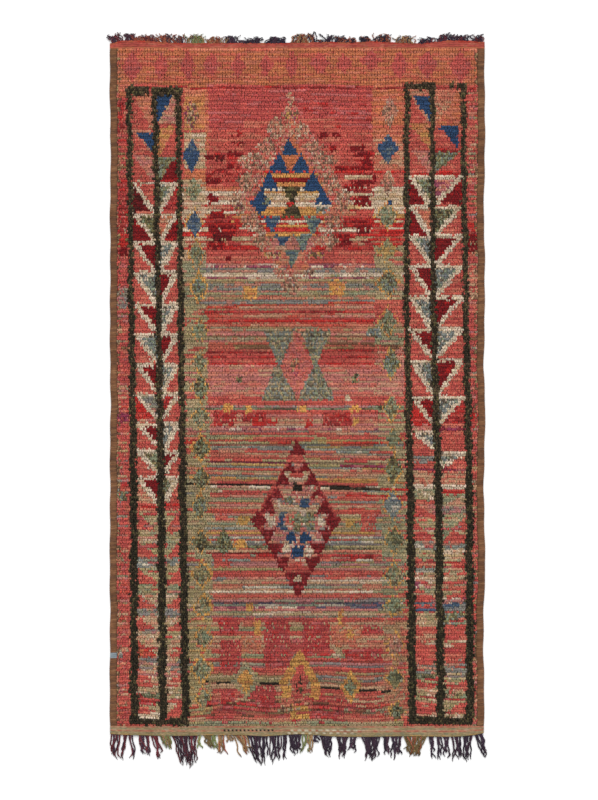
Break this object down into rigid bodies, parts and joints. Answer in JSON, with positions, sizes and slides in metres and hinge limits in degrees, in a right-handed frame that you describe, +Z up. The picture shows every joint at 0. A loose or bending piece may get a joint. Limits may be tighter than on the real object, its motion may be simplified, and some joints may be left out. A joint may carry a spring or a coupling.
{
  "type": "hand-knotted rug",
  "caption": "Long hand-knotted wool rug with geometric panels, wound side bindings, flat-woven end webs and loose warp fringes, lying flat.",
  "frame": {"origin": "on the surface that the rug lies on, under the middle of everything, fringes included", "axes": "+X across the rug to the picture's right, +Y along it to the short-fringed end at the picture's top, +Z up out of the pile"},
  "size_m": [1.509, 2.947, 0.0167],
  "materials": {
    "pile": "cut wool pile, matt, in madder red, ochre, indigo, ivory, sage and black",
    "binding": "brown goat hair, wound tightly round the outer warps",
    "top_web": "red flat weave with short twisted wool warp ends",
    "bottom_web": "khaki flat weave with long aubergine and black wool warp ends"
  },
  "bodies": {
    "root": {"pile_field": "pile", "selvedge_left": "binding", "selvedge_right": "binding", "fringe_top": "top_web", "fringe_bottom": "bottom_web"}
  },
  "joints": []
}
